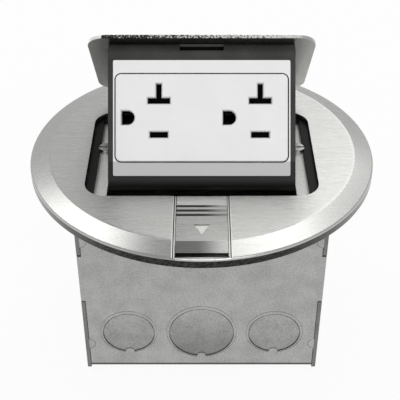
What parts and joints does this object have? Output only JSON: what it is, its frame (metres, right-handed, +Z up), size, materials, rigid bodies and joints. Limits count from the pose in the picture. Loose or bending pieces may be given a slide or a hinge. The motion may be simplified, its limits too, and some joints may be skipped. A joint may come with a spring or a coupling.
{
  "type": "floor socket box",
  "caption": "Round metal floor box whose sprung lid swings up to show a duplex power receptacle, with a steel wiring box below and a sliding latch.",
  "frame": {"origin": "centre of the round cover on the finished floor, at the underside of the floor gasket", "axes": "+Z up out of the floor, +Y towards the hinge side, +X to the right seen from the latch side"},
  "size_m": [0.1396, 0.1396, 0.1422],
  "materials": {
    "cover_brushed": "brushed along X",
    "lid_brushed": "brushed along X",
    "latch_brushed": "brushed along X",
    "gasket_rubber": "matt black",
    "zinc_steel": "hot-dip zinc on sheet steel",
    "screw_steel": "bright plated",
    "pin_steel": "plain steel",
    "earth_green": "green passivated",
    "carrier_black": "satin black",
    "core_black": "moulded black",
    "plate_white": "smooth white",
    "contact_brass": "plain brass"
  },
  "bodies": {
    "base": {"cover_flange": "cover_brushed", "latch_rails": "latch_brushed", "floor_gasket": "gasket_rubber", "lid_gasket": "gasket_rubber", "mounting_plate": "zinc_steel", "cover_screws": "screw_steel", "flange_screws": "screw_steel", "box_body": "zinc_steel", "box_end_left": "zinc_steel", "box_end_right": "zinc_steel", "earth_screw": "earth_green", "hinge_bracket_left": "zinc_steel", "hinge_bracket_right": "zinc_steel", "hinge_pin": "pin_steel", "pin_clips": "pin_steel", "torsion_springs": "pin_steel", "latch_spring": "pin_steel"},
    "lid_unit": {"lid": "lid_brushed", "carrier": "carrier_black", "wiring_cover": "carrier_black", "lid_screws": "screw_steel", "face_plate": "plate_white", "receptacle_face": "plate_white", "receptacle_body": "core_black", "neutral_contacts": "contact_brass", "hot_contacts": "contact_brass", "earth_contacts": "contact_brass", "silver_terminals": "screw_steel", "brass_terminals": "contact_brass", "receptacle_strap": "zinc_steel", "strap_screws": "screw_steel"},
    "latch": {"latch_slider": "latch_brushed"},
    "left_shutter": {"shutter_left": "core_black"},
    "right_shutter": {"shutter_right": "core_black"}
  },
  "joints": [
    {"name": "lid_hinge", "type": "hinge", "parent": "base", "child": "lid_unit", "pos_m": [0, 0.037, -0.00885], "axis": [1, 0, 0], "range_deg": [0, 50], "stiffness_Nm_per_rad": 0.12, "springref_deg": -68.75, "deforming": ["torsion_springs"]},
    {"name": "latch_slide", "type": "slide", "parent": "base", "child": "latch", "axis": [0, -1, 0], "range_m": [0, 0.002], "stiffness_N_per_m": 400, "springref_m": -0.004, "deforming": ["latch_spring"]},
    {"name": "left_shutter_slide", "type": "slide", "parent": "lid_unit", "child": "left_shutter", "axis": [-1, 0, 0], "range_m": [0, 0.0093], "stiffness_N_per_m": 30, "springref_m": -0.005},
    {"name": "right_shutter_slide", "type": "slide", "parent": "lid_unit", "child": "right_shutter", "axis": [-1, 0, 0], "range_m": [0, 0.0093], "stiffness_N_per_m": 30, "springref_m": -0.005}
  ]
}
